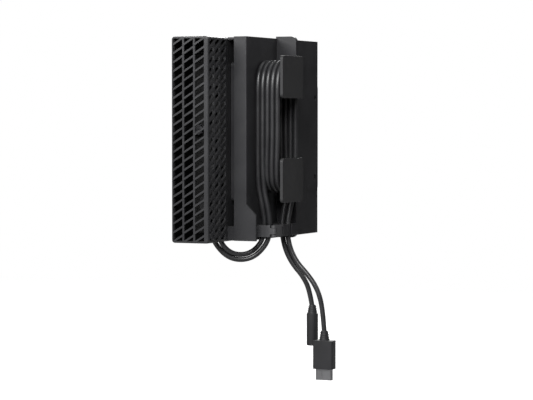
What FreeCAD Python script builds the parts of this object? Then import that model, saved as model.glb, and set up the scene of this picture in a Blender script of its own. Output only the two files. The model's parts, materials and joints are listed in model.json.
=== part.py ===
"""Mini PC carried upright in a flat cradle, with a lattice cable cover and wound leads.

All sizes are millimetres in the machine's own corner frame: X runs from the cable cover
towards the front bezel, Y from the cradle towards the machine's removable side, Z up.
Every solid is moved so that the origin is the centre of the cradle's bolt pattern.
"""
import FreeCAD, Part
import math
import os

Vec = FreeCAD.Vector

# Driving dimensions of the machine
CASE_HEIGHT = 182.0
CASE_THICK = 36.0
CASE_REAR = 40.0
CASE_FRONT = 218.0
CASE_ROUND = 2.6
SHEET = 1.2
LID_SPLIT = 31.7
LID_LOW = 32.0
BEZEL_BACK = 205.2
BOARD_LOW = 6.0
BOARD_TOP = 7.6

# Driving dimensions of the cable cover
COVER_END = 39.7
COVER_WALL = 2.0
MESH_ROWS = 24
MESH_PITCH = 7.9
MESH_COLUMNS = 3
MESH_RIB = 1.6
MESH_MARGIN = 1.7

# Driving dimensions of the cradle
CRADLE_NEAR = 37.0
CRADLE_FAR = 200.0
CRADLE_LOW = 0.9
CRADLE_TOP = 182.7
CRADLE_BACK = -7.6
CRADLE_FACE = -19.8
WING_NEAR = 103.8
WING_THICK = 4.2
WING_EDGE = -38.8
CRADLE_WALL = 2.4
BOLT_SPACING = 75.0
BOLT_HOLE_R = 2.25

# Driving dimensions of the cord store
LEAD_D = 4.5
TURN_R = 20.0
NEAR_RUN = 56.0
FAR_RUN = NEAR_RUN + 2 * TURN_R
LOW_TURN = 65.25
TOP_TURN = 140.25
STORE_BACK = -20.2
STORE_FRONT = -44.2
PLATE_INNER = -44.8
PLATE_THICK = 2.8

# Fan and push button
FAN_X = 110.0
FAN_Z = 47.0
FAN_SHAFT_R = 2.0
RUNNING_GAP = 0.05
BUTTON_Y = 16.0
BUTTON_Z = 160.0

LAND_FACE = CRADLE_FACE - 0.8
LATCH_LOW_X = 124.0
LATCH_HIGH_X = 154.0
ORIGIN = Vec((WING_NEAR + WING_THICK + CRADLE_FAR) / 2, LAND_FACE, (CRADLE_LOW + CRADLE_TOP) / 2)

# Display lead from its angled plug, round the loop and up to the cord store
DISPLAY_LOOP = [
    (33.0, 10.0, 52.0), (33.6, 8.6, 36.0), (35.0, 6.6, 18.0), (35.5, 6.2, -0.2), (42.7, -2.9, -11.8),
    (52.8, -15.7, -11.8), (60.0, -25.2, -0.4), (60.2, -27.6, 16.0), (58.6, -25.6, 32.0),
    (56.6, -22.9, 48.0), (56.0, -22.4, 66.0),
]
# Power lead from its angled plug, round the outer loop and up to the cord store
POWER_LOOP = [
    (33.0, 17.0, 27.5), (33.8, 14.6, 13.0), (35.5, 10.9, -2.3), (42.7, -1.0, -16.4),
    (52.8, -17.8, -16.4), (60.0, -30.1, -2.4), (60.3, -32.5, 13.0), (59.4, -31.0, 29.0),
    (57.0, -28.0, 46.0), (56.0, -27.2, 66.0),
]
# Display lead from the cord store through the open clip, then hanging to its connector
DISPLAY_TAIL = [
    (96.0, -41.6, 66.0), (95.2, -41.0, 48.0), (91.4, -38.8, 30.0), (88.3, -36.6, 13.0),
    (88.0, -38.6, -5.0), (88.2, -46.0, -20.0), (88.6, -57.0, -31.0), (89.0, -66.5, -44.0),
    (89.2, -71.6, -62.0), (89.4, -73.0, -84.0),
]
# Power lead from the cord store through the open clip, then hanging to its coupler
POWER_TAIL = [
    (96.0, -36.8, 66.0), (95.0, -35.8, 48.0), (91.0, -33.0, 30.0), (88.3, -31.2, 12.0),
    (88.1, -33.8, -6.0), (89.4, -40.7, -21.0), (92.0, -51.2, -33.4), (95.4, -56.2, -46.4),
    (97.0, -58.0, -62.0),
]


def box(x0, x1, y0, y1, z0, z1):
    """Block between two corners."""
    return Part.makeBox(x1 - x0, y1 - y0, z1 - z0, Vec(x0, y0, z0))


def rod_x(radius, y, z, x0, x1):
    """Round bar along X."""
    return Part.makeCylinder(radius, x1 - x0, Vec(x0, y, z), Vec(1, 0, 0))


def rod_y(radius, x, z, y0, y1):
    """Round bar along Y."""
    return Part.makeCylinder(radius, y1 - y0, Vec(x, y0, z), Vec(0, 1, 0))


def rod_z(radius, x, y, z0, z1):
    """Round bar along Z."""
    return Part.makeCylinder(radius, z1 - z0, Vec(x, y, z0), Vec(0, 0, 1))


def prism(points, along):
    """Closed outline pushed along a vector."""
    corners = [Vec(*point) for point in points]
    face = Part.Face(Part.makePolygon(corners + corners[:1]))
    return face.extrude(Vec(*along))


def join(shapes):
    """One solid from shapes that touch or overlap."""
    result = shapes[0]
    if len(shapes) > 1:
        result = result.fuse(shapes[1:])
    return result.removeSplitter()


def group(shapes):
    """Separate solids that share one node."""
    return Part.makeCompound(shapes)


def rounded(shape, axis, radius, keep=None):
    """Fillet every straight edge that runs along one axis, or those that keep() picks."""
    edges = []
    for edge in shape.Edges:
        ends = edge.Vertexes
        if len(ends) != 2:
            continue
        run = ends[1].Point - ends[0].Point
        if abs(run.normalize().dot(Vec(*axis))) > 0.999:
            if keep is None or keep(edge.CenterOfMass):
                edges.append(edge)
    return shape.makeFillet(radius, edges)


def racetrack(half_width, y0, y1):
    """Solid with two round ends, standing on the cradle's face round both cord posts."""
    middle = NEAR_RUN + TURN_R
    parts = [
        rod_y(half_width, middle, LOW_TURN, y0, y1),
        rod_y(half_width, middle, TOP_TURN, y0, y1),
        box(middle - half_width, middle + half_width, y0, y1, LOW_TURN, TOP_TURN),
    ]
    return join(parts)


def lead(name, points):
    """Tube of straight runs joined by tangent arcs, each as large as its runs allow."""
    route = [Vec(*point) for point in points]
    edges = []
    start = route[0]
    radii = []
    for before, corner, after in zip(route, route[1:], route[2:]):
        into = (corner - before)
        out = (after - corner)
        trim = 0.45 * min(into.Length, out.Length)
        into.normalize()
        out.normalize()
        turn = into.getAngle(out)
        radii.append(trim / math.tan(turn / 2))
        first = corner - into * trim
        last = corner + out * trim
        bisector = (out - into).normalize()
        centre = corner + bisector * (radii[-1] / math.cos(turn / 2))
        middle = centre - bisector * radii[-1]
        edges.append(Part.makeLine(start, first))
        edges.append(Part.Arc(first, middle, last).toShape())
        start = last
    edges.append(Part.makeLine(start, route[-1]))
    path = Part.Wire(edges)
    ring = Part.Wire([Part.makeCircle(LEAD_D / 2, route[0], route[1] - route[0])])
    tube = path.makePipeShell([ring], True, False)
    ideal = math.pi * (LEAD_D / 2) ** 2 * path.Length
    print(name, "length", round(path.Length, 1), "least radius", round(min(radii), 1),
          "volume ratio", round(tube.Volume / ideal, 4))
    return tube


def chassis_tray():
    """Steel tray: the side next to the cradle, with folded top and bottom walls."""
    outer = box(CASE_REAR + SHEET, BEZEL_BACK, 0, CASE_THICK, 0, CASE_HEIGHT)
    outer = rounded(outer, (1, 0, 0), CASE_ROUND)
    hollow = box(CASE_REAR, BEZEL_BACK + 1, SHEET, CASE_THICK + 1, SHEET, CASE_HEIGHT - SHEET)
    mouth = box(CASE_REAR, BEZEL_BACK + 1, LID_SPLIT, CASE_THICK + 1, -1, CASE_HEIGHT + 1)
    vents = []
    for index in range(9):
        x = 72.0 + 9.0 * index
        vents.append(box(x, x + 3.0, 9.0, 25.0, -1, CASE_HEIGHT + 1))
    return outer.cut([hollow, mouth] + vents)


def rear_panel():
    """Steel plate with the socket cut-outs and the slots for the cable cover's tabs."""
    plate = box(CASE_REAR, CASE_REAR + SHEET, 0, CASE_THICK, 0, CASE_HEIGHT)
    plate = rounded(plate, (1, 0, 0), CASE_ROUND)
    x0 = CASE_REAR - 1
    x1 = CASE_REAR + SHEET + 1
    cuts = [box(x0, x1, LID_SPLIT, CASE_THICK + 1, -1, CASE_HEIGHT + 1)]
    cuts.append(rod_x(5.2, 17.0, 35.0, x0, x1))
    for z in (62.0, 84.0):
        cuts.append(box(x0, x1, 8.4, 16.0, z - 8.6, z + 8.6))
    cuts.append(box(x0, x1, 8.0, 21.6, 102.0, 118.4))
    for z in (133.0, 156.0):
        cuts.append(box(x0, x1, 8.2, 22.9, z - 7.1, z + 7.1))
    cuts.append(rod_x(1.55, 27.0, 100.0, x0, x1))
    cuts.append(box(x0, x1, 9.6, 26.4, 174.6, 177.4))
    cuts.append(box(x0, x1, 21.6, 30.4, 4.6, 7.4))
    return plate.cut(cuts)


def side_cover():
    """Removable side: a shallow pressed lid with a vent field over the blower."""
    outer = box(CASE_REAR, CASE_FRONT, 0, CASE_THICK, 0, CASE_HEIGHT)
    outer = rounded(outer, (1, 0, 0), CASE_ROUND)
    below = box(CASE_REAR - 1, CASE_FRONT + 1, -1, LID_LOW, -1, CASE_HEIGHT + 1)
    hollow = box(CASE_REAR + SHEET, CASE_FRONT - SHEET, 0, CASE_THICK - SHEET, SHEET, CASE_HEIGHT - SHEET)
    lid = outer.cut([below, hollow])
    flange = box(42.0, 43.2, 22.0, CASE_THICK - SHEET + 0.2, 94.0, 106.0)
    lid = join([lid, flange]).cut(rod_x(1.75, 27.0, 100.0, 41.0, 44.0))
    vents = []
    for row in range(7):
        for column in range(5):
            x = 86.0 + 10.0 * column + (5.0 if row % 2 else 0.0)
            z = 26.0 + 7.0 * row
            vents.append(rod_y(2.1, x, z, CASE_THICK - 2, CASE_THICK + 1))
    return lid.cut(vents)


def front_bezel():
    """Moulded front with vent slots and openings for the button, light and sockets."""
    outer = box(BEZEL_BACK, CASE_FRONT, 0, CASE_THICK, 0, CASE_HEIGHT)
    outer = rounded(outer, (1, 0, 0), CASE_ROUND)
    mouth = box(BEZEL_BACK - 1, CASE_FRONT + 1, LID_SPLIT, CASE_THICK + 1, -1, CASE_HEIGHT + 1)
    hollow = box(BEZEL_BACK - 1, CASE_FRONT - 2, 2, LID_SPLIT - 2, 2, CASE_HEIGHT - 2)
    x0 = CASE_FRONT - 3
    x1 = CASE_FRONT + 1
    cuts = [mouth, hollow]
    cuts.append(rod_x(6.3, BUTTON_Y, BUTTON_Z, x0, x1))
    cuts.append(rod_x(1.3, BUTTON_Y, 173.0, x0, x1))
    cuts.append(box(x0, x1, 12.8, 19.2, 125.2, 139.0))
    cuts.append(box(x0, x1, 14.0, 18.0, 106.8, 116.4))
    cuts.append(rod_x(3.1, BUTTON_Y, 92.0, x0, x1))
    for index in range(11):
        z = 12.0 + 6.0 * index
        cuts.append(box(x0, x1, 5.0, 27.0, z, z + 2.6))
    return outer.cut(cuts)


def power_button():
    """Round key with a hidden flange."""
    key = rod_x(6.0, BUTTON_Y, BUTTON_Z, 213.6, 218.2)
    key = key.makeFillet(0.6, [e for e in key.Edges if abs(e.CenterOfMass.x - 218.2) < 0.01])
    flange = rod_x(7.6, BUTTON_Y, BUTTON_Z, 212.2, 213.6)
    return join([key, flange])


def socket_shell(x0, x1, y0, y1, z0, z1, wall, tongue_y, mouth_x):
    """Folded metal socket, open at one end, with its contact tongue set back inside."""
    outer = box(x0, x1, y0, y1, z0, z1)
    inner = box(x0, x1, y0 + wall, y1 - wall, z0 + wall, z1 - wall)
    inner.translate(Vec(-1.2 if mouth_x == x0 else 1.2, 0, 0))
    shell = outer.cut(inner)
    back = x1 - 1.4 if mouth_x == x0 else x0 + 1.4
    reach = 5.6
    if mouth_x == x0:
        tongue = box(x0 + reach, back, tongue_y - 0.8, tongue_y + 0.8, z0 + wall + 1.2, z1 - wall - 1.2)
    else:
        tongue = box(back, x1 - reach, tongue_y - 0.8, tongue_y + 0.8, z0 + wall + 1.2, z1 - wall - 1.2)
    tongue = tongue.fuse(box(back - 0.4, back + 0.4, tongue_y - 0.8, tongue_y + 0.8,
                             z0 + wall + 1.2, z1 - wall - 1.2))
    return join([shell, tongue])


def usb_sockets():
    """Four stacked data sockets at the rear."""
    shells = []
    for z in (133.0, 156.0):
        for y in (8.5, 15.7):
            shells.append(socket_shell(40.2, 56.0, y, y + 6.2, z - 6.8, z + 6.8, 0.4, y + 3.1, 40.2))
    return group(shells)


def display_sockets():
    """Two display sockets at the rear."""
    shells = []
    for z in (62.0, 84.0):
        shells.append(socket_shell(40.2, 52.0, 9.0, 15.4, z - 8.2, z + 8.2, 0.5, 12.2, 40.2))
    return group(shells)


def lan_socket():
    """Network socket with its square mouth."""
    outer = box(40.2, 60.0, 8.4, 21.2, 102.4, 118.0)
    mouth = box(40.0, 53.0, 10.2, 19.0, 104.2, 116.2)
    return outer.cut(mouth)


def dc_socket():
    """Round power inlet: sleeve, block and centre pin."""
    sleeve = rod_x(5.0, 17.0, 35.0, 40.3, 54.0).cut(rod_x(3.7, 17.0, 35.0, 40.0, 52.0))
    block = box(42.0, 56.0, 9.0, 24.0, 28.0, 42.0).cut(rod_x(4.9, 17.0, 35.0, 41.0, 53.9))
    return join([sleeve, block])


def front_sockets():
    """Front data sockets: a wide one and a small oval one."""
    wide = socket_shell(204.0, 217.7, 13.0, 19.0, 125.4, 138.8, 0.4, 16.0, 217.7)
    small = rounded(box(206.0, 217.7, 14.3, 17.7, 107.1, 116.1), (1, 0, 0), 1.6)
    slot = rounded(box(208.0, 219.0, 14.7, 17.3, 107.5, 115.7), (1, 0, 0), 1.2)
    blade = box(207.5, 216.0, 15.65, 16.35, 109.0, 114.2)
    small = join([small.cut(slot), blade])
    return group([wide, small])


def audio_socket():
    """Headset jack with a through-sized bore closed at the back."""
    body = rod_x(3.0, BUTTON_Y, 92.0, 204.0, 217.8)
    return body.cut(rod_x(1.8, BUTTON_Y, 92.0, 206.0, 219.0))


def motherboard():
    """Main circuit board with its screw holes."""
    board = box(44.0, 176.0, BOARD_LOW, BOARD_TOP, 6.0, 176.0)
    holes = [rod_y(1.6, x, z, BOARD_LOW - 1, BOARD_TOP + 1) for x, z in BOARD_FIXINGS]
    return board.cut(holes)


BOARD_FIXINGS = [(66.0, 12.0), (66.0, 170.0), (170.0, 12.0), (170.0, 172.0), (70.0, 95.0), (140.0, 12.0)]


def board_standoffs():
    """Threaded pillars between the tray and the board."""
    pillars = []
    for x, z in BOARD_FIXINGS:
        pillar = rod_y(2.6, x, z, SHEET, BOARD_LOW)
        pillars.append(pillar.cut(rod_y(1.45, x, z, SHEET + 0.8, BOARD_LOW + 1)))
    return group(pillars)


def board_screws():
    """Pan-head screws that hold the board."""
    screws = []
    for x, z in BOARD_FIXINGS:
        head = rod_y(2.8, x, z, BOARD_TOP, BOARD_TOP + 1.8)
        shank = rod_y(1.4, x, z, SHEET + 1.4, BOARD_TOP)
        cross = box(x - 1.6, x + 1.6, BOARD_TOP + 0.9, BOARD_TOP + 2, z - 0.3, z + 0.3)
        screws.append(join([head, shank]).cut(cross))
    return group(screws)


def heatsink():
    """Finned block over the processor."""
    base = box(82.0, 127.0, 11.8, 14.0, 80.0, 128.0)
    fins = []
    for index in range(15):
        x = 82.0 + 3.14 * index
        fins.append(box(x, x + 1.0, 14.0, 29.0, 80.0, 128.0))
    return join([base] + fins)


def blower_housing():
    """Open-topped scroll round the fan with its outlet towards the fins."""
    outer = box(82.0, 138.0, 10.0, 29.0, 20.0, 75.6)
    outer = rounded(outer, (0, 1, 0), 8.0, lambda p: p.z < 30)
    scroll = rod_y(25.5, FAN_X, FAN_Z, 11.6, 30.0)
    outlet = box(86.0, 134.0, 11.6, 30.0, FAN_Z, 80.0)
    shell = outer.cut([scroll, outlet])
    lid = box(82.0, 138.0, 27.8, 29.0, 20.0, 75.6)
    lid = rounded(lid, (0, 1, 0), 8.0, lambda p: p.z < 30)
    lid = lid.cut(rod_y(19.5, FAN_X, FAN_Z, 27.0, 30.0))
    shaft = rod_y(FAN_SHAFT_R, FAN_X, FAN_Z, 11.0, 22.0)
    return join([shell, lid, shaft])


def fan_rotor():
    """Hub and curved blades that turn on the housing's shaft."""
    hub = rod_y(9.0, FAN_X, FAN_Z, 12.4, 26.4)
    hub = hub.cut(rod_y(FAN_SHAFT_R + RUNNING_GAP, FAN_X, FAN_Z, 12.0, 23.0))
    plate = rod_y(22.5, FAN_X, FAN_Z, 12.4, 13.2)
    plate = plate.cut(rod_y(8.0, FAN_X, FAN_Z, 12.0, 14.0))
    blades = []
    for index in range(19):
        blade = box(7.8, 22.5, 13.0, 26.0, -0.5, 0.5)
        blade.rotate(Vec(9.0, 0, 0), Vec(0, 1, 0), 24)
        blade.rotate(Vec(0, 0, 0), Vec(0, 1, 0), 360.0 * index / 19)
        blade.translate(Vec(FAN_X, 0, FAN_Z))
        blades.append(blade)
    rim = rod_y(22.6, FAN_X, FAN_Z, 12.4, 26.4)
    rotor = join([hub, plate] + blades)
    return rotor.common(rim)


def memory_sockets():
    """Two edge connectors for the memory cards, stacked."""
    low = box(166.0, 174.0, BOARD_TOP, 12.6, 98.0, 168.0).cut(box(165.0, 170.0, 9.6, 11.2, 99.4, 167.2))
    high = box(166.0, 174.0, 12.6, 18.0, 98.0, 168.0).cut(box(165.0, 170.0, 15.0, 16.6, 99.4, 167.2))
    return join([low, high])


def memory_modules():
    """Two memory cards with their chips."""
    cards = []
    for y in (9.8, 15.2):
        card = box(137.0, 169.8, y, y + 1.2, 99.6, 167.0)
        chips = []
        for z in (104.0, 119.0, 138.0, 153.0):
            chips.append(box(142.0, 155.0, y + 1.2, y + 2.2, z, z + 10.0))
        cards.append(join([card] + chips))
    return group(cards)


def ssd_card():
    """Solid-state storage card in its edge connector."""
    card = box(147.0, 169.0, 10.0, 10.8, 20.0, 92.0)
    chips = [box(149.0, 167.0, 10.8, 12.2, 26.0, 44.0), box(149.0, 167.0, 10.8, 12.2, 50.0, 66.0)]
    chips.append(box(151.0, 163.0, 10.8, 12.0, 71.0, 82.0))
    return join([card] + chips)


def card_connectors():
    """Edge connectors for the storage card and the wireless card."""
    storage = box(146.0, 170.0, BOARD_TOP, 12.4, 90.0, 96.0).cut(box(146.6, 169.4, 9.9, 10.9, 89.0, 92.2))
    radio = box(99.0, 123.0, BOARD_TOP, 12.4, 134.0, 140.0).cut(box(99.6, 122.4, 9.9, 10.9, 138.0, 141.0))
    return group([storage, radio])


def wireless_card():
    """Radio card with its shield can and aerial studs."""
    card = box(100.0, 122.0, 10.0, 10.8, 138.1, 168.0)
    can = box(102.0, 120.0, 10.8, 12.2, 143.0, 160.0)
    studs = [rod_y(1.0, x, 164.5, 10.8, 12.0) for x in (106.0, 116.0)]
    return join([card, can] + studs)


def coin_cell_holder():
    """Round cup for the clock's battery."""
    cup = rod_y(12.0, 82.0, 156.0, BOARD_TOP, 12.0)
    return cup.cut(rod_y(10.2, 82.0, 156.0, 8.6, 13.0))


def drive_caddy():
    """Folded tray that holds the small disk drive over the memory."""
    outer = box(130.0, 203.0, 19.4, 29.6, 76.0, 178.4)
    inner = box(131.0, 202.0, 20.4, 30.0, 77.0, 177.4)
    window = box(140.0, 193.0, 19.0, 21.0, 90.0, 165.0)
    return outer.cut([inner, window])


def disk_drive():
    """Small disk drive with its raised cover."""
    body = rounded(box(131.6, 201.4, 20.6, 27.0, 77.4, 177.2), (0, 1, 0), 2.0)
    cover = rounded(box(134.0, 199.0, 27.0, 27.8, 82.0, 174.0), (0, 1, 0), 4.0)
    return join([body, cover])


def speaker():
    """Small loudspeaker with a round cone opening."""
    case = rounded(box(180.0, 202.0, SHEET, 15.0, 20.0, 62.0), (0, 1, 0), 2.0)
    cone = rod_y(8.5, 191.0, 41.0, 12.0, 16.0)
    dome = Part.makeSphere(5.0, Vec(191.0, 9.2, 41.0)).common(box(180, 202, 11.0, 15.0, 30, 52))
    return join([case.cut(cone), dome])


def front_switch():
    """Key switch on its small board behind the power button."""
    board = box(208.2, 209.4, 9.0, 23.0, 150.0, 170.0)
    switch = box(209.4, 210.4, BUTTON_Y - 3, BUTTON_Y + 3, BUTTON_Z - 3, BUTTON_Z + 3)
    feet = [box(BEZEL_BACK, 208.2, 9.0, 11.0, 150.0, 152.0), box(BEZEL_BACK, 208.2, 21.0, 23.0, 168.0, 170.0)]
    return join([board, switch] + feet)


def thumb_screw():
    """Captive hand screw with a knurled, slotted head."""
    head = rod_x(4.6, 27.0, 100.0, 34.4, 39.8)
    grooves = []
    for index in range(20):
        angle = 2 * math.pi * index / 20
        grooves.append(rod_x(0.45, 27.0 + 4.7 * math.cos(angle), 100.0 + 4.7 * math.sin(angle), 34.0, 39.0))
    head = head.cut(grooves + [box(34.0, 35.6, 22.0, 32.0, 99.5, 100.5)])
    shank = rod_x(1.5, 27.0, 100.0, 39.0, 47.0)
    return join([head, shank])


def mesh_cells(width, rise, gap, start, corner, depth):
    """Leaning four-sided cells in rows and columns; corner(u, v) gives a point outside the wall."""
    cells = []
    for column in range(MESH_COLUMNS):
        u0 = column * (width + MESH_RIB)
        u1 = u0 + width
        for row in range(-2, MESH_ROWS):
            v0 = start + row * MESH_PITCH
            outline = [(u0, v0), (u1, v0 + rise), (u1, v0 + rise + gap), (u0, v0 + gap)]
            cells.append(prism([corner(u, v) for u, v in outline], depth))
    return group(cells)


def cable_cover():
    """Lattice box over the plugs, open towards the machine, with a slot for the leads."""
    outer = box(0, COVER_END, 0, CASE_THICK, 0, CASE_HEIGHT)
    outer = rounded(outer, (1, 0, 0), CASE_ROUND)
    near = outer.Edges
    outer = outer.makeFillet(1.4, [e for e in near if abs(e.CenterOfMass.x) < 0.01])
    hollow = box(COVER_WALL, COVER_END + 1, COVER_WALL, CASE_THICK - COVER_WALL,
                 COVER_WALL, CASE_HEIGHT - COVER_WALL)
    shell = outer.cut(hollow)
    low = MESH_MARGIN
    high = CASE_HEIGHT - MESH_MARGIN
    near_cells = mesh_cells(9.0, 5.5, 6.0, 2.2, lambda u, v: (-1, 34.3 - u, v), (4, 0, 0))
    side_cells = mesh_cells(10.1, 5.5, 5.0, 6.1, lambda u, v: (2.5 + u, -1, v), (0, 4, 0))
    cuts = []
    cuts.append(near_cells.common(box(-2, 4, 0, CASE_THICK, low, high)))
    cuts.append(side_cells.common(box(0, COVER_END, -2, 4, low + 0.8, high - 0.8)))
    cuts.append(box(22.0, COVER_END + 1, COVER_WALL, 16.0, -1, COVER_WALL + 1))
    shell = shell.cut(cuts)
    tabs = [box(37.0, 45.0, 10.0, 26.0, 175.0, 177.0), box(37.0, 45.0, 22.0, 30.0, 5.0, 7.0)]
    roots = [box(34.0, COVER_END, 10.0, 26.0, 177.0, 181.0), box(34.0, COVER_END, 22.0, 30.0, 1.0, 5.0)]
    return join([shell] + tabs + roots)


def bolt_holes(y0, y1):
    """The four clearance holes of the mount."""
    holes = []
    for dx in (-0.5, 0.5):
        for dz in (-0.5, 0.5):
            holes.append(rod_y(BOLT_HOLE_R, ORIGIN.x + dx * BOLT_SPACING, ORIGIN.z + dz * BOLT_SPACING, y0, y1))
    return holes


def cradle_shell():
    """Moulded cradle body: a flat tray with a ledge, a bottom lip and a wing beside the bolted face."""
    w = CRADLE_WALL
    tray = box(CRADLE_NEAR, CRADLE_FAR, CRADLE_FACE, CRADLE_BACK, CRADLE_LOW, CRADLE_TOP)
    tray = rounded(tray, (0, 0, 1), 1.0, lambda p: p.y < CRADLE_FACE + 1)
    wing = box(WING_NEAR, WING_NEAR + WING_THICK, WING_EDGE, CRADLE_FACE + 1, CRADLE_LOW + 0.2, CRADLE_TOP + 1.8)
    wing = rounded(wing, (1, 0, 0), 5.0, lambda p: p.y < WING_EDGE + 1)
    land = box(ORIGIN.x - 44.0, ORIGIN.x + 44.0, LAND_FACE, CRADLE_FACE + 1, ORIGIN.z - 50.0, ORIGIN.z + 50.0)
    shapes = [tray, wing, rounded(land, (0, 1, 0), 4.0)]
    x = WING_NEAR + WING_THICK
    for z in (16.0, 32.0, 150.0, 166.0):
        shapes.append(prism([(x - 1, CRADLE_FACE + 1, z), (x + 10.0, CRADLE_FACE + 1, z),
                             (x + 10.0, CRADLE_FACE, z), (x, WING_EDGE + 6, z), (x - 1, WING_EDGE + 6, z)],
                            (0, 0, 2.2)))
    shapes.append(prism([(CRADLE_NEAR, CRADLE_FACE + 1.2, CRADLE_LOW), (CRADLE_NEAR, -28.9, CRADLE_LOW),
                         (CRADLE_NEAR, -28.9, 24.0), (CRADLE_NEAR, CRADLE_FACE, 33.5),
                         (CRADLE_NEAR, CRADLE_FACE + 1.2, 33.5)], (w, 0, 0)))
    tray_in = box(CRADLE_NEAR + w, CRADLE_FAR - w, CRADLE_FACE + w, CRADLE_BACK + 1,
                  CRADLE_LOW + w, CRADLE_TOP - w)
    ledge = box(CRADLE_NEAR + w, CRADLE_FAR - w, CRADLE_BACK - 0.1, -0.1, CRADLE_LOW, 13.6)
    lip = box(CRADLE_NEAR + w, CRADLE_FAR - w, CRADLE_BACK - 0.1, -0.4, CRADLE_TOP - w, CRADLE_TOP - 0.6)
    lip = lip.cut(box(LATCH_LOW_X - 0.5, LATCH_HIGH_X + 0.5, CRADLE_BACK, 0, CRADLE_TOP - 6, CRADLE_TOP))
    shell = join([join(shapes).cut(tray_in), ledge, lip])
    holes = bolt_holes(LAND_FACE - 1, CRADLE_FACE + 4)
    for z in (LOW_TURN, TOP_TURN):
        for dx in (-9.0, 9.0):
            holes.append(rod_y(1.8, NEAR_RUN + TURN_R + dx, z, CRADLE_FACE - 1, CRADLE_FACE + 3))
    return shell.cut(holes)


def mount_plate():
    """Steel stiffener inside the tray, drilled like the bolted face."""
    y0 = CRADLE_FACE + CRADLE_WALL
    plate = rounded(box(112.0, 196.0, y0, y0 + 2.0, 44.0, 140.0), (0, 1, 0), 4.0)
    window = rod_y(16.0, ORIGIN.x, ORIGIN.z, y0 - 1, y0 + 3)
    return plate.cut(bolt_holes(y0 - 1, y0 + 3) + [window])


STUDS = [(66.0, 60.0), (66.0, 140.0), (182.0, 60.0), (182.0, 140.0)]


def keyhole(x, z, y0, y1, width_r, entry_r):
    """Keyhole cut: a slot with a wider entry below the stud's rest place."""
    slot = box(x - width_r, x + width_r, y0, y1, z - 11.0, z)
    return join([slot, rod_y(width_r, x, z, y0, y1), rod_y(entry_r, x, z - 11.0, y0, y1)])


def cradle_plate():
    """Steel sheet across the cradle's back with four keyholes for the machine's studs."""
    sheet = box(CRADLE_NEAR + 2.8, CRADLE_FAR - 2.8, -9.6, CRADLE_BACK, 14.0, CRADLE_TOP - 2.8)
    cuts = [keyhole(x, z, -11.0, -7.0, 3.3, 6.4) for x, z in STUDS]
    return sheet.cut(cuts)


def cradle_pad():
    """Raised moulding between the sheet and the machine, open round the keyholes."""
    pad = rounded(box(46.0, 197.0, CRADLE_BACK, -0.2, 36.0, 160.0), (0, 1, 0), 3.0)
    cuts = [box(x - 9.0, x + 9.0, -8.0, 0.0, z - 20.0, z + 6.0) for x, z in STUDS]
    cuts.append(box(84.0, 164.0, CRADLE_BACK + 2.0, 0.0, 44.0, 152.0))
    return pad.cut(cuts)


def keyhole_studs():
    """Shoulder studs screwed into the machine's tray."""
    studs = []
    for x, z in STUDS:
        shank = rod_y(3.0, x, z, -10.2, 0.0)
        head = rod_y(5.4, x, z, -12.0, -9.9)
        studs.append(join([shank, head]))
    return group(studs)


def release_latch():
    """Sprung slider beside the machine's top edge that keeps the studs seated."""
    finger = rounded(box(LATCH_LOW_X, LATCH_HIGH_X, -7.0, -0.9, 168.0, 181.4), (0, 1, 0), 2.0)
    stem = box(134.0, 144.0, -7.0, -3.0, 164.6, 169.0)
    grooves = [box(126.0, 152.0, -1.4, 0.0, z, z + 1.2) for z in (171.0, 174.0, 177.0)]
    return join([finger, stem]).cut(grooves)


def rubber_feet():
    """Four round feet on the machine's tray side."""
    feet = []
    for x in (62.0, 200.0):
        for z in (25.0, 171.0):
            foot = rod_y(6.0, x, z, -1.8, 0.0)
            rim = [e for e in foot.Edges if abs(e.CenterOfMass.y + 1.8) < 0.01]
            feet.append(foot.makeFillet(0.6, rim))
    return group(feet)


def cord_post(centre_z, low, high):
    """Hollow drum, cut flat behind its square retaining plate."""
    middle = NEAR_RUN + TURN_R
    drum = rod_y(TURN_R - LEAD_D / 2 - 0.4, middle, centre_z, PLATE_INNER, CRADLE_FACE)
    drum = drum.cut(rod_y(14.4, middle, centre_z, PLATE_INNER, CRADLE_FACE - 2.4))
    drum = drum.cut([rod_y(1.6, middle + dx, centre_z, -24.0, CRADLE_FACE + 1) for dx in (-9.0, 9.0)])
    drum = drum.common(box(middle - TURN_R, middle + TURN_R, PLATE_INNER, CRADLE_FACE, low + 1.0, high - 1.0))
    plate = box(54.0, 100.0, PLATE_INNER - PLATE_THICK, PLATE_INNER, low, high)
    plate = rounded(plate, (0, 1, 0), 3.4)
    return join([drum, plate])


def post_screws():
    """Screws through the cradle into both drums."""
    screws = []
    for z in (LOW_TURN, TOP_TURN):
        for dx in (-9.0, 9.0):
            x = NEAR_RUN + TURN_R + dx
            head = rod_y(3.0, x, z, CRADLE_FACE + CRADLE_WALL, CRADLE_FACE + CRADLE_WALL + 1.9)
            shank = rod_y(1.5, x, z, CRADLE_FACE - 2.2, CRADLE_FACE + CRADLE_WALL)
            screws.append(join([head, shank]))
    return group(screws)


GATE_X = 56.3
GATE_Y = -37.7
GATE_PIN_R = 0.9


def lead_clip():
    """Fixed jaw of the lead clip with two hinge ears."""
    jaw = box(57.2, 70.0, -40.0, CRADLE_FACE, 3.8, 14.3)
    jaw = rounded(jaw, (0, 0, 1), 0.8, lambda p: p.y < -39)
    channel = box(57.0, 64.6, -36.2, -22.4, 3.0, 15.0)
    low_ear = join([rod_z(2.2, GATE_X, GATE_Y, 3.8, 6.0), box(GATE_X, 58.0, GATE_Y - 2.2, GATE_Y + 1.4, 3.8, 6.0)])
    top_ear = join([rod_z(2.2, GATE_X, GATE_Y, 12.1, 14.3),
                    box(GATE_X, 58.0, GATE_Y - 2.2, GATE_Y + 1.4, 12.1, 14.3)])
    pocket = rod_z(2.6, GATE_X, GATE_Y, 6.0, 12.1)
    clip = join([jaw.cut(pocket), low_ear, top_ear])
    return clip.cut([channel, rod_z(GATE_PIN_R, GATE_X, GATE_Y, 3.0, 15.0)])


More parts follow.
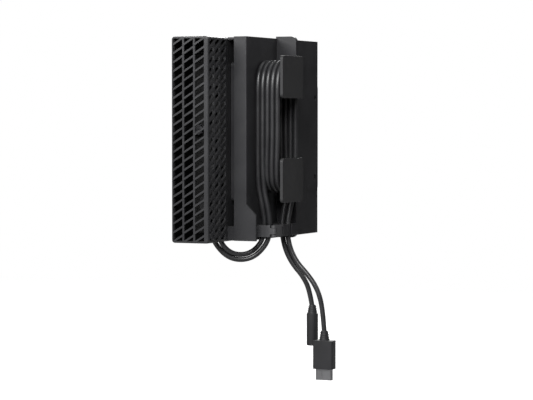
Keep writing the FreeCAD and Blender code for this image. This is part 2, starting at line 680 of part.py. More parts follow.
def lead_gate():
    """Hinged gate that closes the clip over the two leads."""
    knuckle = rod_z(2.2, GATE_X, GATE_Y, 6.3, 11.8)
    web = box(54.2, 56.3, GATE_Y, -33.6, 6.3, 11.8)
    panel = box(54.2, 56.8, -34.8, -22.6, 3.8, 14.3)
    panel = rounded(panel, (1, 0, 0), 0.8)
    gate = join([knuckle, web, panel])
    return gate.cut(rod_z(GATE_PIN_R + RUNNING_GAP, GATE_X, GATE_Y, 5.0, 13.0))


def tail_clip():
    """Open clip for the two outgoing leads, between the lead clip and the bay."""
    block = box(72.0, WING_NEAR, -40.0, CRADLE_FACE, 3.8, 14.3)
    block = rounded(block, (0, 0, 1), 0.8, lambda p: p.y < -39)
    return block.cut(box(84.6, 91.8, -41.0, -28.2, 3.0, 15.0))


def lead_winding():
    """Outer shape of both leads wound together round the two posts."""
    outer = racetrack(TURN_R + LEAD_D / 2, STORE_FRONT, STORE_BACK)
    return outer.cut(racetrack(TURN_R - LEAD_D / 2, STORE_FRONT - 1, STORE_BACK + 1))


def display_plug():
    """Angled display plug seated in the lower display socket."""
    x, y, z = DISPLAY_LOOP[0]
    body = rounded(box(27.6, 39.8, 6.4, 17.6, z + 1.0, 72.0), (1, 0, 0), 2.2)
    tip = box(39.8, 44.8, 9.8, 14.6, 54.8, 69.2)
    sleeve = Part.makeCone(3.0, 4.2, 6.0, Vec(x, y, z - 3.0), Vec(0, 0, 1))
    bore = rod_z(LEAD_D / 2, x, y, z - 4.0, z)
    return join([body, tip, sleeve.cut(bore)])


def power_plug():
    """Angled power plug seated in the round inlet."""
    x, y, z = POWER_LOOP[0]
    body = rounded(box(27.6, 39.8, 12.0, 22.0, z + 1.0, 40.4), (1, 0, 0), 3.4)
    tip = rod_x(3.4, 17.0, 35.0, 39.8, 50.0)
    sleeve = Part.makeCone(2.9, 4.0, 6.0, Vec(x, y, z - 3.0), Vec(0, 0, 1))
    bore = rod_z(LEAD_D / 2, x, y, z - 4.0, z)
    return join([body, tip, sleeve.cut(bore)])


def display_connector():
    """Straight display connector on the lead's free end."""
    x, y, z = DISPLAY_TAIL[-1]
    body = rounded(box(x - 5.2, x + 5.2, y - 9.6, y + 9.6, z - 32.0, z - 6.0), (0, 0, 1), 2.0)
    sleeve = Part.makeCone(4.6, 3.0, 9.0, Vec(x, y, z - 6.4), Vec(0, 0, 1))
    bore = rod_z(LEAD_D / 2, x, y, z, z + 4.0)
    tip = box(x - 2.4, x + 2.4, y - 7.4, y + 7.4, z - 42.0, z - 32.0)
    return join([body, sleeve.cut(bore), tip])


def power_coupler():
    """Round in-line coupler on the power lead's free end, with its socket at the tip."""
    x, y, z = POWER_TAIL[-1]
    body = rod_z(5.2, x, y, z - 34.0, z - 5.0)
    body = body.makeFillet(0.8, [e for e in body.Edges if e.Length > 20 and e.CenterOfMass.z < z - 30])
    sleeve = Part.makeCone(4.4, 2.9, 8.0, Vec(x, y, z - 5.2), Vec(0, 0, 1))
    bore = rod_z(LEAD_D / 2, x, y, z, z + 4.0)
    mouth = rod_z(2.8, x, y, z - 35.0, z - 22.0)
    pin = rod_z(0.5, x, y, z - 31.0, z - 21.0)
    return join([body.cut(mouth), sleeve.cut(bore), pin])


PARTS = {
    "chassis_tray": chassis_tray,
    "rear_panel": rear_panel,
    "side_cover": side_cover,
    "front_bezel": front_bezel,
    "power_button": power_button,
    "button_switch": front_switch,
    "status_light": lambda: rod_x(1.25, BUTTON_Y, 173.0, 212.0, 218.0),
    "usb_sockets": usb_sockets,
    "display_sockets": display_sockets,
    "lan_socket": lan_socket,
    "dc_socket": dc_socket,
    "front_sockets": front_sockets,
    "audio_socket": audio_socket,
    "motherboard": motherboard,
    "board_standoffs": board_standoffs,
    "board_screws": board_screws,
    "processor": lambda: box(86.0, 123.5, BOARD_TOP, 11.8, 85.0, 122.5),
    "heatsink": heatsink,
    "blower_housing": blower_housing,
    "fan_rotor": fan_rotor,
    "memory_sockets": memory_sockets,
    "memory_modules": memory_modules,
    "ssd_card": ssd_card,
    "card_connectors": card_connectors,
    "wireless_card": wireless_card,
    "coin_cell_holder": coin_cell_holder,
    "coin_cell": lambda: rod_y(10.0, 82.0, 156.0, 8.6, 11.8),
    "drive_caddy": drive_caddy,
    "disk_drive": disk_drive,
    "speaker": speaker,
    "thumb_screw": thumb_screw,
    "rubber_feet": rubber_feet,
    "keyhole_studs": keyhole_studs,
    "cable_cover": cable_cover,
    "cradle_shell": cradle_shell,
    "cradle_plate": cradle_plate,
    "cradle_pad": cradle_pad,
    "mount_plate": mount_plate,
    "release_latch": release_latch,
    "upper_cord_post": lambda: cord_post(TOP_TURN, 128.0, 166.0),
    "lower_cord_post": lambda: cord_post(LOW_TURN, 34.6, 74.2),
    "post_screws": post_screws,
    "lead_clip": lead_clip,
    "lead_gate": lead_gate,
    "gate_pin": lambda: rod_z(GATE_PIN_R, GATE_X, GATE_Y, 3.8, 14.3),
    "tail_clip": tail_clip,
    "display_plug": display_plug,
    "power_plug": power_plug,
    "display_lead_loop": lambda: lead("display loop", DISPLAY_LOOP),
    "power_lead_loop": lambda: lead("power loop", POWER_LOOP),
    "lead_winding": lead_winding,
    "display_lead_tail": lambda: lead("display tail", DISPLAY_TAIL),
    "power_lead_tail": lambda: lead("power tail", POWER_TAIL),
    "display_connector": display_connector,
    "power_coupler": power_coupler,
}

os.makedirs("parts", exist_ok=True)
for name, make in PARTS.items():
    shape = make()
    shape.translate(ORIGIN * -1)
    shape.exportStep("parts/" + name + ".step")
    print(name, len(shape.Solids), "solids", "valid" if shape.isValid() else "BROKEN", round(shape.Volume, 1))
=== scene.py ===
import json
import math

import bmesh
import bpy
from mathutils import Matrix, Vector


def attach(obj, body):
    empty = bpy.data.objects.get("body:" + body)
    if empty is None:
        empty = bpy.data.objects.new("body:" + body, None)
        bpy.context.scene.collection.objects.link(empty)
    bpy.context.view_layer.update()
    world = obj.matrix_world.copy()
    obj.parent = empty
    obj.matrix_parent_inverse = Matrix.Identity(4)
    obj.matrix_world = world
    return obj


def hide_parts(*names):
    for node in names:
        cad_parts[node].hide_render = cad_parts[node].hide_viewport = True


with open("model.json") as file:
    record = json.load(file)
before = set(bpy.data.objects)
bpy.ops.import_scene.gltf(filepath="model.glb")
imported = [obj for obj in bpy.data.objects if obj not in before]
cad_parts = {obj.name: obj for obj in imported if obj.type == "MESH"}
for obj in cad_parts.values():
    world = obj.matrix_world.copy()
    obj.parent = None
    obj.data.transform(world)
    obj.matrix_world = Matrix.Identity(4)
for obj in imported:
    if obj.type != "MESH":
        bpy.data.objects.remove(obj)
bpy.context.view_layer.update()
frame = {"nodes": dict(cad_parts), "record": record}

# Places are measured in metres from the machine's near lower corner, beside the cradle.
CORNER = Vector((-0.154, 0.0206, -0.0918))

# Leads: diameter, the turns and runs round the two posts, and each strand's depth along Y.
LEAD_D = 0.0045
TURN_R = 0.020
NEAR_RUN = 0.056
FAR_RUN = NEAR_RUN + 2 * TURN_R
RUN_LOW = 0.090
RUN_HIGH = 0.118
LOW_TURN = 0.06525
TOP_TURN = 0.14025
STRANDS = (-0.0225, -0.0272, -0.0320, -0.0368, -0.0416)

# Hollow of the cable cover, from its low corner to its high one, where painted shade goes.
COVER_HOLLOW_LOW = CORNER + Vector((0.0030, 0.0030, 0.0014))
COVER_HOLLOW_HIGH = CORNER + Vector((0.0500, 0.0345, 0.1806))

# Metal shell round the display connector's tip; its middle lies this far below the lead's end.
SHELL_SIZE = Vector((0.0050, 0.0150, 0.0100))
SHELL_DROP = 0.0370
SHELL_WALL = 0.0005
SHELL_CORNER = 0.0006
MOUTH_DEPTH = 0.0070

# Studio: the floor lies well under the held-up object.
MIDDLE = CORNER + Vector((0.05, -0.02, 0.10))
FLOOR_DROP = 0.175
CAMERA_PLACE = CORNER + Vector((-1.7173, -0.8281, 0.11185))
CAMERA_TARGET = CORNER + Vector((0.080, -0.020, 0.036))
CAMERA_LENS = 147.0
SOFTBOXES = {
    "key_box": ((-0.95, -0.34, 0.72), 0.5, 15),
    "gloss_box": ((-0.95, 0.34, 0.62), 0.6, 11),
    "side_box": ((0.60, -1.05, 0.70), 0.5, 3.5),
    "front_box": ((1.05, 0.45, 0.60), 0.7, 14),
    "top_box": ((0.15, -0.10, 1.30), 0.9, 3),
}

DISPLAY_LOOP = [
    (0.0330, 0.0100, 0.0520), (0.0336, 0.0086, 0.0360), (0.0350, 0.0066, 0.0180),
    (0.0355, 0.0062, -0.0002), (0.0427, -0.0029, -0.0118), (0.0528, -0.0157, -0.0118),
    (0.0600, -0.0252, -0.0004), (0.0602, -0.0276, 0.0160), (0.0586, -0.0256, 0.0320),
    (0.0566, -0.0229, 0.0480), (0.0560, -0.0224, 0.0660),
]
POWER_LOOP = [
    (0.0330, 0.0170, 0.0275), (0.0338, 0.0146, 0.0130), (0.0355, 0.0109, -0.0023),
    (0.0427, -0.0010, -0.0164), (0.0528, -0.0178, -0.0164), (0.0600, -0.0301, -0.0024),
    (0.0603, -0.0325, 0.0130), (0.0594, -0.0310, 0.0290), (0.0570, -0.0280, 0.0460),
    (0.0560, -0.0272, 0.0660),
]
DISPLAY_TAIL = [
    (0.0960, -0.0416, 0.0660), (0.0952, -0.0410, 0.0480), (0.0914, -0.0388, 0.0300),
    (0.0883, -0.0366, 0.0130), (0.0880, -0.0386, -0.0050), (0.0882, -0.0460, -0.0200),
    (0.0886, -0.0570, -0.0310), (0.0890, -0.0665, -0.0440), (0.0892, -0.0716, -0.0620),
    (0.0894, -0.0730, -0.0840),
]
POWER_TAIL = [
    (0.0960, -0.0368, 0.0660), (0.0950, -0.0358, 0.0480), (0.0910, -0.0330, 0.0300),
    (0.0883, -0.0312, 0.0120), (0.0881, -0.0338, -0.0060), (0.0894, -0.0407, -0.0210),
    (0.0920, -0.0512, -0.0334), (0.0954, -0.0562, -0.0464), (0.0970, -0.0580, -0.0620),
]


# ---------------------------------------------------------------- shared surface effects

def new_group(name, inputs, outputs):
    """Empty shader group with named number sockets."""
    group = bpy.data.node_groups.new(name, "ShaderNodeTree")
    for label, value in inputs:
        socket = group.interface.new_socket(label, in_out="INPUT", socket_type="NodeSocketFloat")
        socket.default_value = value
    for label in outputs:
        group.interface.new_socket(label, in_out="OUTPUT", socket_type="NodeSocketFloat")
    start = group.nodes.new("NodeGroupInput")
    end = group.nodes.new("NodeGroupOutput")
    return group, start, end


def noise_node(tree, vector, scale, detail=2.0, roughness=0.5):
    """Noise texture on a given vector; scale may be a number or a socket."""
    noise = tree.nodes.new("ShaderNodeTexNoise")
    noise.inputs["Detail"].default_value = detail
    noise.inputs["Roughness"].default_value = roughness
    tree.links.new(vector, noise.inputs["Vector"])
    if isinstance(scale, (int, float)):
        noise.inputs["Scale"].default_value = scale
    else:
        tree.links.new(scale, noise.inputs["Scale"])
    return noise.outputs["Fac"]


def span(tree, value, low, high, to_low, to_high):
    """Map Range with clamping."""
    node = tree.nodes.new("ShaderNodeMapRange")
    node.inputs["From Min"].default_value = low
    node.inputs["From Max"].default_value = high
    node.inputs["To Min"].default_value = to_low
    node.inputs["To Max"].default_value = to_high
    tree.links.new(value, node.inputs["Value"])
    return node.outputs["Result"]


def grain_effect():
    """Spark-eroded mould grain: a height, and a slow drift of gloss over the surface."""
    inputs = [("Scale", 2600.0), ("Drift", 26.0)]
    group, start, end = new_group("mould_grain", inputs, ["Height", "Gloss"])
    place = group.nodes.new("ShaderNodeTexCoord").outputs["Object"]
    cells = group.nodes.new("ShaderNodeTexVoronoi")
    cells.feature = "SMOOTH_F1"
    group.links.new(place, cells.inputs["Vector"])
    group.links.new(start.outputs["Scale"], cells.inputs["Scale"])
    group.links.new(cells.outputs["Distance"], end.inputs["Height"])
    drift = noise_node(group, place, start.outputs["Drift"], 3.0)
    group.links.new(span(group, drift, 0.3, 0.7, 0.0, 1.0), end.inputs["Gloss"])
    return group


def dust_effect():
    """Faint settled dust on faces that look up, broken up by noise."""
    group, start, end = new_group("settled_dust", [("Amount", 0.5)], ["Mask"])
    place = group.nodes.new("ShaderNodeTexCoord").outputs["Object"]
    shape = group.nodes.new("ShaderNodeNewGeometry")
    split = group.nodes.new("ShaderNodeSeparateXYZ")
    group.links.new(shape.outputs["Normal"], split.inputs["Vector"])
    facing = span(group, split.outputs["Z"], 0.5, 1.0, 0.0, 1.0)
    specks = span(group, noise_node(group, place, 420.0, 5.0, 0.7), 0.42, 0.72, 0.0, 1.0)
    first = group.nodes.new("ShaderNodeMath")
    first.operation = "MULTIPLY"
    group.links.new(facing, first.inputs[0])
    group.links.new(specks, first.inputs[1])
    second = group.nodes.new("ShaderNodeMath")
    second.operation = "MULTIPLY"
    group.links.new(first.outputs["Value"], second.inputs[0])
    group.links.new(start.outputs["Amount"], second.inputs[1])
    group.links.new(second.outputs["Value"], end.inputs["Mask"])
    return group


def brushing_effect():
    """Fine parallel lines of drawn or brushed metal along Z."""
    group, start, end = new_group("brushing", [("Scale", 900.0)], ["Lines", "Patches"])
    place = group.nodes.new("ShaderNodeTexCoord").outputs["Object"]
    stretch = group.nodes.new("ShaderNodeMapping")
    stretch.inputs["Scale"].default_value = (1.0, 1.0, 0.03)
    group.links.new(place, stretch.inputs["Vector"])
    lines = noise_node(group, stretch.outputs["Vector"], start.outputs["Scale"], 3.0, 0.6)
    group.links.new(lines, end.inputs["Lines"])
    group.links.new(noise_node(group, place, 45.0, 3.0), end.inputs["Patches"])
    return group


GRAIN = grain_effect()
DUST = dust_effect()
BRUSHING = brushing_effect()


# ---------------------------------------------------------------- materials

def blank(name):
    """Material with one Principled shader."""
    material = bpy.data.materials.new(name)
    material.use_nodes = True
    tree = material.node_tree
    return material, tree, tree.nodes["Principled BSDF"]


def use(tree, group):
    """Place a shared effect in a material."""
    node = tree.nodes.new("ShaderNodeGroup")
    node.node_tree = group
    return node


def blend_colours(tree, factor, first, second):
    """Mix of two fixed colours by a mask."""
    mix = tree.nodes.new("ShaderNodeMix")
    mix.data_type = "RGBA"
    mix.inputs["A"].default_value = (*first, 1)
    mix.inputs["B"].default_value = (*second, 1)
    tree.links.new(factor, mix.inputs["Factor"])
    return mix


def bump(tree, shader, height, distance, strength):
    """Bump from a height that varies over the surface."""
    node = tree.nodes.new("ShaderNodeBump")
    node.inputs["Distance"].default_value = distance
    node.inputs["Strength"].default_value = strength
    tree.links.new(height, node.inputs["Height"])
    tree.links.new(node.outputs["Normal"], shader.inputs["Normal"])


def moulding(name, dark, light, gloss, grain=2600.0, depth=0.00004, strength=0.35, dust=0.25):
    """Grained moulded plastic or powder coat: tone and gloss drift, grain and light dust."""
    material, tree, shader = blank(name)
    texture = use(tree, GRAIN)
    texture.inputs["Scale"].default_value = grain
    tone = blend_colours(tree, texture.outputs["Gloss"], dark, light)
    settled = use(tree, DUST)
    settled.inputs["Amount"].default_value = dust
    cover = tree.nodes.new("ShaderNodeMix")
    cover.data_type = "RGBA"
    cover.inputs["B"].default_value = (0.16, 0.155, 0.145, 1)
    tree.links.new(tone.outputs["Result"], cover.inputs["A"])
    tree.links.new(settled.outputs["Mask"], cover.inputs["Factor"])
    tree.links.new(cover.outputs["Result"], shader.inputs["Base Color"])
    tree.links.new(span(tree, texture.outputs["Gloss"], 0, 1, gloss - 0.05, gloss + 0.05),
                   shader.inputs["Roughness"])
    shader.inputs["Specular IOR Level"].default_value = 0.4
    bump(tree, shader, texture.outputs["Height"], depth, strength)
    return material


def jacket(name):
    """Soft extruded lead jacket: satin, with faint draw marks along its length."""
    material, tree, shader = blank(name)
    place = tree.nodes.new("ShaderNodeTexCoord").outputs["Object"]
    fine = noise_node(tree, place, 1800.0, 3.0, 0.6)
    slow = noise_node(tree, place, 60.0, 2.0)
    tone = blend_colours(tree, slow, (0.014, 0.014, 0.015), (0.028, 0.028, 0.030))
    tree.links.new(tone.outputs["Result"], shader.inputs["Base Color"])
    tree.links.new(span(tree, slow, 0.3, 0.7, 0.30, 0.42), shader.inputs["Roughness"])
    bump(tree, shader, fine, 0.00003, 0.35)
    return material


def metal(name, dark, light, gloss, scale=900.0):
    """Drawn or brushed metal with uneven tone."""
    material, tree, shader = blank(name)
    shader.inputs["Metallic"].default_value = 1.0
    lines = use(tree, BRUSHING)
    lines.inputs["Scale"].default_value = scale
    tone = blend_colours(tree, lines.outputs["Patches"], dark, light)
    tree.links.new(tone.outputs["Result"], shader.inputs["Base Color"])
    tree.links.new(span(tree, lines.outputs["Lines"], 0.3, 0.7, gloss - 0.08, gloss + 0.1),
                   shader.inputs["Roughness"])
    bump(tree, shader, lines.outputs["Lines"], 0.00003, 0.4)
    return material


def circuit(name):
    """Solder mask with faint tracks under it."""
    material, tree, shader = blank(name)
    place = tree.nodes.new("ShaderNodeTexCoord").outputs["Object"]
    turn = tree.nodes.new("ShaderNodeMapping")
    turn.inputs["Rotation"].default_value = (math.radians(90), 0, 0)
    tree.links.new(place, turn.inputs["Vector"])
    tracks = tree.nodes.new("ShaderNodeTexBrick")
    tracks.inputs["Scale"].default_value = 130.0
    tracks.inputs["Mortar Size"].default_value = 0.06
    tracks.inputs["Color1"].default_value = (0.006, 0.045, 0.026, 1)
    tracks.inputs["Color2"].default_value = (0.008, 0.055, 0.030, 1)
    tracks.inputs["Mortar"].default_value = (0.02, 0.11, 0.06, 1)
    tree.links.new(turn.outputs["Vector"], tracks.inputs["Vector"])
    tree.links.new(tracks.outputs["Color"], shader.inputs["Base Color"])
    tree.links.new(span(tree, noise_node(tree, place, 200.0), 0.3, 0.7, 0.28, 0.42),
                   shader.inputs["Roughness"])
    bump(tree, shader, tracks.outputs["Fac"], 0.00004, 0.4)
    return material


def lens(name):
    """Small diffusing light window, lit softly white."""
    material, tree, shader = blank(name)
    place = tree.nodes.new("ShaderNodeTexCoord").outputs["Object"]
    cloudy = noise_node(tree, place, 900.0, 2.0)
    tone = blend_colours(tree, cloudy, (0.72, 0.76, 0.80), (0.85, 0.88, 0.90))
    tree.links.new(tone.outputs["Result"], shader.inputs["Base Color"])
    tree.links.new(tone.outputs["Result"], shader.inputs["Emission Color"])
    shader.inputs["Emission Strength"].default_value = 1.2
    shader.inputs["Roughness"].default_value = 0.25
    return material


def paint_shade_inside(material, low, high):
    """Painted shade: near-black colour and low specular inside a moulded box's hollow, where shade
    falls; low and high bound the hollow.
    """
    tree = material.node_tree
    shader = tree.nodes["Principled BSDF"]
    place = tree.nodes.new("ShaderNodeTexCoord").outputs["Object"]
    split = tree.nodes.new("ShaderNodeSeparateXYZ")
    tree.links.new(place, split.inputs["Vector"])
    inside = None
    for axis, start, end in zip("XYZ", low, high):
        for edge, beyond in ((start, 1), (end, -1)):
            fade = beyond * 0.0003
            side = span(tree, split.outputs[axis], edge - fade, edge + fade, 0, 1)
            if inside is None:
                inside = side
                continue
            both = tree.nodes.new("ShaderNodeMath")
            both.operation = "MULTIPLY"
            tree.links.new(inside, both.inputs[0])
            tree.links.new(side, both.inputs[1])
            inside = both.outputs["Value"]
    # Near-black painted shade mixed over the surface's own colour inside the hollow.
    paint = tree.nodes.new("ShaderNodeMix")
    paint.data_type = "RGBA"
    paint.inputs["B"].default_value = (0.003, 0.003, 0.003, 1)
    tree.links.new(shader.inputs["Base Color"].links[0].from_socket, paint.inputs["A"])
    tree.links.new(inside, paint.inputs["Factor"])
    tree.links.new(paint.outputs["Result"], shader.inputs["Base Color"])
    tree.links.new(span(tree, inside, 0, 1, 0.4, 0.12), shader.inputs["Specular IOR Level"])


case_plastic = moulding("case_plastic", (0.020, 0.020, 0.022), (0.030, 0.030, 0.032), 0.46)
cover_plastic = moulding("cover_plastic", (0.020, 0.020, 0.022), (0.030, 0.030, 0.032), 0.40)
# Painted shade inside the cable cover's hollow.
paint_shade_inside(cover_plastic, COVER_HOLLOW_LOW, COVER_HOLLOW_HIGH)
# Rear panel coat: a darker copy of the powder coat, painted shade inside the cable cover.
powder_coat_painted_shade = moulding("powder_coat_painted_shade", (0.004, 0.004, 0.004), (0.008, 0.008, 0.008), 0.80,
                       grain=1700.0, depth=0.00005, strength=0.3, dust=0.1)
cradle_plastic = moulding("cradle_plastic", (0.018, 0.018, 0.020), (0.027, 0.027, 0.029), 0.42)
plate_plastic = moulding("plate_plastic", (0.020, 0.020, 0.021), (0.027, 0.027, 0.028), 0.52)
gate_plastic = moulding("gate_plastic", (0.055, 0.055, 0.058), (0.072, 0.072, 0.075), 0.48)
key_plastic = moulding("key_plastic", (0.026, 0.026, 0.028), (0.034, 0.034, 0.036), 0.34, 3200.0)
powder_coat = moulding("powder_coat", (0.017, 0.017, 0.018), (0.026, 0.026, 0.028), 0.42,
                       grain=1700.0, depth=0.00006, strength=0.6)
plug_plastic = moulding("plug_plastic", (0.015, 0.015, 0.016), (0.023, 0.023, 0.025), 0.40, 3000.0)
inner_plastic = moulding("inner_plastic", (0.014, 0.014, 0.015), (0.022, 0.022, 0.023), 0.45, 2200.0)
foot_rubber = moulding("foot_rubber", (0.012, 0.012, 0.012), (0.020, 0.020, 0.020), 0.75, 1500.0)
lead_jacket = jacket("lead_jacket")
plated_metal = metal("plated_metal", (0.26, 0.26, 0.27), (0.36, 0.36, 0.37), 0.34)
zinc_metal = metal("zinc_metal", (0.42, 0.43, 0.45), (0.60, 0.60, 0.62), 0.38, 500.0)
# Rear sockets: a darker copy of the plated metal, painted shade inside the cable cover.
plated_metal_painted_shade = metal("plated_metal_painted_shade", (0.03, 0.03, 0.032), (0.06, 0.06, 0.062), 0.44, 800.0)
screw_metal = metal("screw_metal", (0.16, 0.16, 0.17), (0.26, 0.26, 0.27), 0.34, 1200.0)
raw_aluminium = metal("raw_aluminium", (0.62, 0.63, 0.64), (0.78, 0.78, 0.79), 0.34, 700.0)
chip_metal = metal("chip_metal", (0.48, 0.48, 0.49), (0.62, 0.62, 0.62), 0.30, 300.0)
circuit_board = circuit("circuit_board")
light_window = lens("light_window")

FINISHES = {
    "rear_panel": powder_coat_painted_shade,
    "usb_sockets": plated_metal_painted_shade,
    "display_sockets": plated_metal_painted_shade,
    "lan_socket": plated_metal_painted_shade,
    "dc_socket": inner_plastic,
    "front_sockets": plated_metal,
    "audio_socket": inner_plastic,
    "motherboard": circuit_board,
    "board_standoffs": zinc_metal,
    "board_screws": zinc_metal,
    "processor": chip_metal,
    "heatsink": raw_aluminium,
    "blower_housing": inner_plastic,
    "fan_rotor": inner_plastic,
    "memory_sockets": inner_plastic,
    "memory_modules": circuit_board,
    "ssd_card": circuit_board,
    "card_connectors": inner_plastic,
    "wireless_card": circuit_board,
    "coin_cell_holder": inner_plastic,
    "coin_cell": chip_metal,
    "drive_caddy": zinc_metal,
    "disk_drive": raw_aluminium,
    "speaker": inner_plastic,
    "button_switch": inner_plastic,
    "status_light": light_window,
    "thumb_screw": screw_metal,
    "rubber_feet": foot_rubber,
    "keyhole_studs": zinc_metal,
    "cradle_plate": zinc_metal,
    "mount_plate": zinc_metal,
    "post_screws": screw_metal,
    "gate_pin": screw_metal,
}
for node, finish in FINISHES.items():
    mesh = frame["nodes"][node].data
    mesh.materials.clear()
    mesh.materials.append(finish)


# ---------------------------------------------------------------- pieces

def finished(name, mesh, material, body):
    """Object from a bmesh, with smooth faces, true edges, its finish and the body it rides."""
    for face in mesh.faces:
        face.smooth = True
    for edge in mesh.edges:
        edge.smooth = len(edge.link_faces) == 2 and edge.calc_face_angle(0.0) < math.radians(40)
    data = bpy.data.meshes.new(name)
    mesh.to_mesh(data)
    mesh.free()
    data.materials.append(material)
    piece = bpy.data.objects.new(name, data)
    bpy.context.scene.collection.objects.link(piece)
    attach(piece, body)
    return piece


BODY_OF = {}
for carrier, carried in frame["record"]["behaviour"]["bodies"].items():
    for node in carried:
        BODY_OF[node] = carrier


def softened(node, material, width, segments=2):
    """Moulded version of a node: the same shape with every sharp edge rolled over."""
    mesh = bmesh.new()
    mesh.from_mesh(frame["nodes"][node].data)
    bmesh.ops.remove_doubles(mesh, verts=mesh.verts, dist=1e-6)
    bmesh.ops.dissolve_limit(mesh, angle_limit=math.radians(0.5), verts=mesh.verts, edges=mesh.edges)
    sharp = []
    for edge in mesh.edges:
        if len(edge.link_faces) == 2 and edge.calc_face_angle(0.0) > math.radians(32):
            sharp.append(edge)
    bmesh.ops.bevel(mesh, geom=sharp, offset=width, offset_type="OFFSET", affect="EDGES",
                    segments=segments, profile=0.5, material=-1, clamp_overlap=True)
    piece = finished(node + "_moulded", mesh, material, BODY_OF[node])
    even = piece.modifiers.new("even_shading", "WEIGHTED_NORMAL")
    even.keep_sharp = True
    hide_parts(node)
    return piece


softened("cable_cover", cover_plastic, 0.00035)
softened("chassis_tray", powder_coat, 0.0003)
softened("side_cover", powder_coat, 0.0003)
softened("front_bezel", case_plastic, 0.0004)
softened("power_button", key_plastic, 0.0003)
softened("cradle_shell", cradle_plastic, 0.0008, 3)
softened("cradle_pad", cradle_plastic, 0.0005)
softened("upper_cord_post", plate_plastic, 0.0005, 3)
softened("lower_cord_post", plate_plastic, 0.0005, 3)
softened("lead_clip", gate_plastic, 0.0004)
softened("lead_gate", gate_plastic, 0.0004, 3)
softened("tail_clip", cradle_plastic, 0.0005)
softened("release_latch", gate_plastic, 0.0004)
display_plug = softened("display_plug", plug_plastic, 0.0004)
power_plug = softened("power_plug", plug_plastic, 0.0004)
display_connector = softened("display_connector", plug_plastic, 0.0005)
power_coupler = softened("power_coupler", plug_plastic, 0.0004)


def strain_relief(name, end, low, high, low_radius, high_radius, owner):
    """Ribbed soft collar round a lead's end; low and high are heights from the end of its route."""
    bands = 8
    rib_height = 0.00035
    groove_depth = 0.0002
    step = (high - low) / bands
    profile = []
    for band in range(bands):
        height = low + band * step
        radius = low_radius + (high_radius - low_radius) * (band + 0.5) / bands
        radius += rib_height if band % 2 == 0 else -groove_depth
        profile += [(radius, height + 0.06 * step), (radius, height + 0.94 * step)]
    mesh = bmesh.new()
    centre = CORNER + Vector(end)
    line = [mesh.verts.new(centre + Vector((radius, 0, height))) for radius, height in profile]
    edges = [mesh.edges.new(pair) for pair in zip(line, line[1:])]
    bmesh.ops.spin(mesh, geom=line + edges, cent=centre, axis=(0, 0, 1), angle=math.tau, steps=36)
    bmesh.ops.remove_doubles(mesh, verts=mesh.verts, dist=1e-6)
    bmesh.ops.recalc_face_normals(mesh, faces=mesh.faces)
    finished(name, mesh, plug_plastic, BODY_OF[owner])


def is_upright(edge):
    """True where an edge runs along Z."""
    return abs(edge.verts[0].co.z - edge.verts[1].co.z) > SHELL_SIZE.z / 2


def connector_shell():
    """Plated metal shell round the display connector's tip, whose plastic fills it to the rim."""
    centre = CORNER + Vector(DISPLAY_TAIL[-1]) - Vector((0, 0, SHELL_DROP))
    mesh = bmesh.new()
    bmesh.ops.create_cube(mesh, size=1.0)
    bmesh.ops.scale(mesh, verts=mesh.verts, vec=SHELL_SIZE)
    bmesh.ops.translate(mesh, verts=mesh.verts, vec=centre)
    upright = [edge for edge in mesh.edges if is_upright(edge)]
    bmesh.ops.bevel(mesh, geom=upright, offset=SHELL_CORNER, offset_type="OFFSET", affect="EDGES",
                    segments=3, profile=0.5, material=-1)
    mouth = [face for face in mesh.faces if face.normal.z < -0.9]
    bmesh.ops.inset_region(mesh, faces=mouth, thickness=SHELL_WALL)
    bmesh.ops.translate(mesh, verts=mouth[0].verts, vec=(0, 0, MOUTH_DEPTH))
    finished("display_connector_shell", mesh, plated_metal, "machine")


strain_relief("display_plug_relief", DISPLAY_LOOP[0], -0.0030, 0.0010, 0.0030, 0.0038, "display_plug")
strain_relief("power_plug_relief", POWER_LOOP[0], -0.0030, 0.0010, 0.0029, 0.0037, "power_plug")
strain_relief("display_connector_relief", DISPLAY_TAIL[-1], -0.0060, 0.0026, 0.0045, 0.0030,
              "display_connector")
strain_relief("power_coupler_relief", POWER_TAIL[-1], -0.0050, 0.0028, 0.0043, 0.0029, "power_coupler")
connector_shell()


# ---------------------------------------------------------------- leads

def post_turn(height, angles, depths):
    """Control points round one post, at each angle in degrees with its own depth along Y."""
    half_step = math.radians(22.5)
    reach = TURN_R / math.cos(half_step)
    points = []
    for degrees, y in zip(angles, depths):
        angle = math.radians(degrees)
        x = NEAR_RUN + TURN_R + reach * math.cos(angle)
        points.append((x, y, height + reach * math.sin(angle)))
    return points


def winding(first, turns):
    """Control points of one lead's turns round both posts, from its first near run."""
    points = []
    for turn in range(turns):
        y = STRANDS[first + 2 * turn]
        points += [(NEAR_RUN, y, RUN_LOW), (NEAR_RUN, y, RUN_HIGH)]
        points += post_turn(TOP_TURN, (157.5, 112.5, 67.5, 22.5), (y, y, y, y))
        points += [(FAR_RUN, y, RUN_HIGH), (FAR_RUN, y, RUN_LOW)]
        if turn < turns - 1:
            across = STRANDS[first + 2 * turn + 2] - y
            depths = [y + across * (step + 0.5) / 4 for step in range(4)]
            points += post_turn(LOW_TURN, (337.5, 292.5, 247.5, 202.5), depths)
    return points


def lead(name, points, nodes):
    """Round lead on one smooth spline."""
    data = bpy.data.curves.new(name, "CURVE")
    data.dimensions = "3D"
    data.bevel_depth = LEAD_D / 2
    data.bevel_resolution = 5
    data.resolution_u = 10
    spline = data.splines.new("NURBS")
    spline.points.add(len(points) - 1)
    for point, place in zip(spline.points, points):
        point.co = (*(CORNER + Vector(place)), 1)
    spline.order_u = 3
    spline.use_endpoint_u = True
    data.materials.append(lead_jacket)
    piece = bpy.data.objects.new(name, data)
    bpy.context.scene.collection.objects.link(piece)
    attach(piece, "machine")
    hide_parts(*nodes)


lead("display_lead", DISPLAY_LOOP + winding(0, 3) + DISPLAY_TAIL,
     ["display_lead_loop", "lead_winding", "display_lead_tail"])
lead("power_lead", POWER_LOOP + winding(1, 2) + POWER_TAIL,
     ["power_lead_loop", "power_lead_tail"])


# ---------------------------------------------------------------- stage, lights and camera

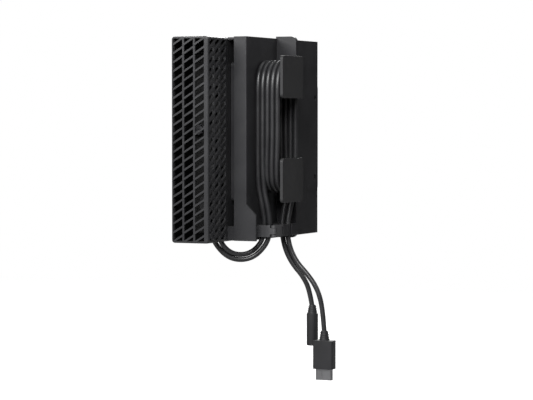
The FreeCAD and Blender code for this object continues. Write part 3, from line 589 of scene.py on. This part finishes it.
def studio_floor():
    """Wide floor under the held-up object: white to the camera, dim as a light, so shadows stay deep."""
    mesh = bmesh.new()
    bmesh.ops.create_grid(mesh, x_segments=2, y_segments=2, size=1.5)
    bmesh.ops.translate(mesh, verts=mesh.verts, vec=(0, 0, CORNER.z - FLOOR_DROP))
    data = bpy.data.meshes.new("studio_floor")
    mesh.to_mesh(data)
    mesh.free()
    material, tree, shader = blank("pale_floor")
    place = tree.nodes.new("ShaderNodeTexCoord").outputs["Object"]
    tone = blend_colours(tree, noise_node(tree, place, 3.0), (0.24, 0.24, 0.24), (0.30, 0.30, 0.30))
    tree.links.new(tone.outputs["Result"], shader.inputs["Base Color"])
    shader.inputs["Roughness"].default_value = 0.8
    path = tree.nodes.new("ShaderNodeLightPath")
    shader.inputs["Emission Color"].default_value = (0.96, 0.96, 0.96, 1)
    strength = span(tree, path.outputs["Is Camera Ray"], 0, 1, 0.02, 1.0)
    tree.links.new(strength, shader.inputs["Emission Strength"])
    data.materials.append(material)
    floor = bpy.data.objects.new("studio_floor", data)
    bpy.context.scene.collection.objects.link(floor)


def soft_light(name, place, size, power):
    """Square softbox that points at the object's middle."""
    data = bpy.data.lights.new(name, "AREA")
    data.shape = "RECTANGLE"
    data.size = size
    data.size_y = size
    data.energy = power
    light = bpy.data.objects.new(name, data)
    light.location = place
    light.rotation_euler = (MIDDLE - place).to_track_quat("-Z", "Y").to_euler()
    bpy.context.scene.collection.objects.link(light)


def white_surround():
    """Even pale surround, dimmer as a light than as a backdrop."""
    world = bpy.data.worlds.new("surround")
    world.use_nodes = True
    tree = world.node_tree
    path = tree.nodes.new("ShaderNodeLightPath")
    strength = span(tree, path.outputs["Is Camera Ray"], 0, 1, 0.025, 1.0)
    tree.links.new(strength, tree.nodes["Background"].inputs["Strength"])
    tree.nodes["Background"].inputs["Color"].default_value = (1, 1, 1, 1)
    bpy.context.scene.world = world


def main_camera():
    """Camera level with the machine's middle, off its cable cover's corner."""
    data = bpy.data.cameras.new("camera")
    data.sensor_width = 36.0
    data.lens = CAMERA_LENS
    camera = bpy.data.objects.new("camera", data)
    camera.location = CAMERA_PLACE
    camera.rotation_euler = (CAMERA_TARGET - CAMERA_PLACE).to_track_quat("-Z", "Y").to_euler()
    bpy.context.scene.collection.objects.link(camera)
    bpy.context.scene.camera = camera


studio_floor()
for name, (offset, size, power) in SOFTBOXES.items():
    soft_light(name, CORNER + Vector(offset), size, power)
white_surround()
main_camera()
bpy.context.scene.view_settings.view_transform = "Standard"
